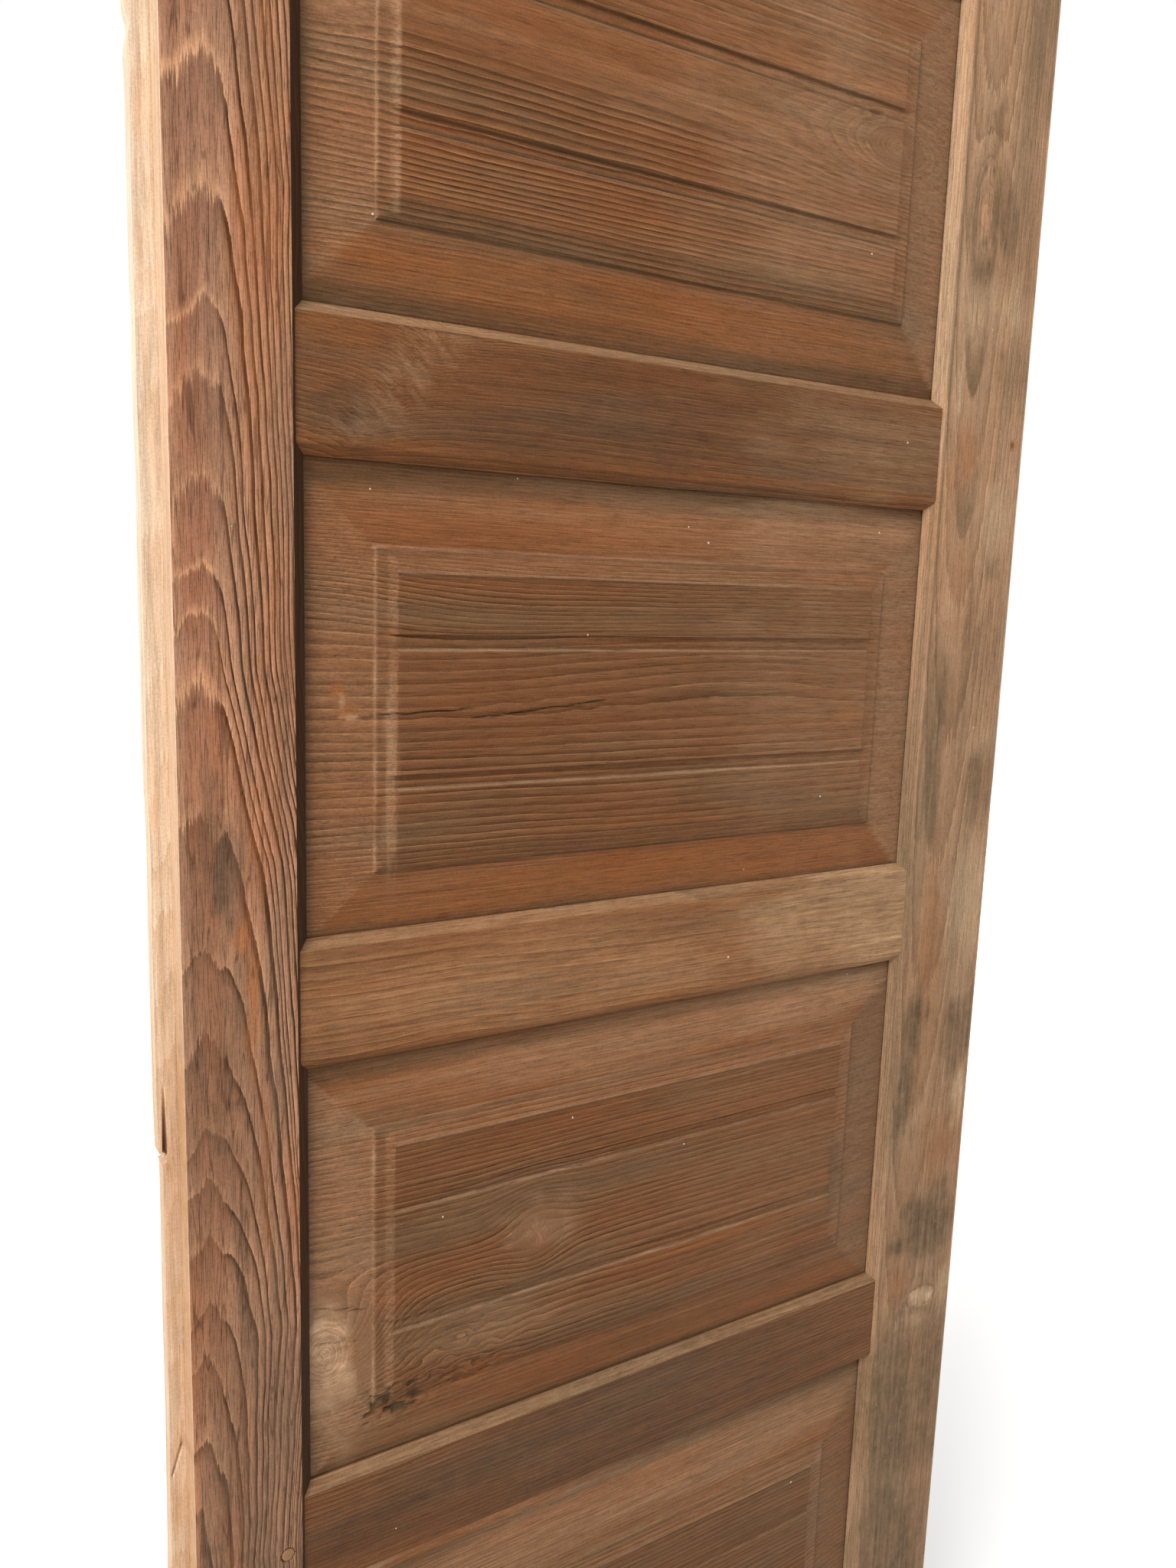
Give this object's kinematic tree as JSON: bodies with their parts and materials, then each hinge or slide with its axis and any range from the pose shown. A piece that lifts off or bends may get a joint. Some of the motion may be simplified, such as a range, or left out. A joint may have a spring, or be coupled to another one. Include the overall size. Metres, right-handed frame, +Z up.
{
  "type": "panelled door leaf",
  "caption": "Old stained pine front door leaf of frame-and-panel joinery, with raised panels between rails and stiles, a raw rebated closing edge and a plain hanging edge.",
  "frame": {"origin": "centre of the bounding box in plan, on the bottom edge", "axes": "+Z up along the stiles, front face toward -Y, +X toward the hanging edge"},
  "size_m": [0.83, 0.04, 2.04],
  "materials": {
    "stile_pine": "worn brown stain, matt, raised grain",
    "rail_pine": "worn brown stain, matt, dusty",
    "panel_pine": "worn brown stain, matt, raised grain",
    "raw_pine": "bare sawn pine"
  },
  "bodies": {
    "root": {"left_stile": "stile_pine", "right_stile": "stile_pine", "bottom_rail": "rail_pine", "cross_rail_1": "rail_pine", "cross_rail_2": "rail_pine", "cross_rail_3": "rail_pine", "top_rail": "rail_pine", "panel_1": "panel_pine", "panel_2": "panel_pine", "panel_3": "panel_pine", "panel_4": "panel_pine", "tenon_peg": "raw_pine"}
  },
  "joints": []
}
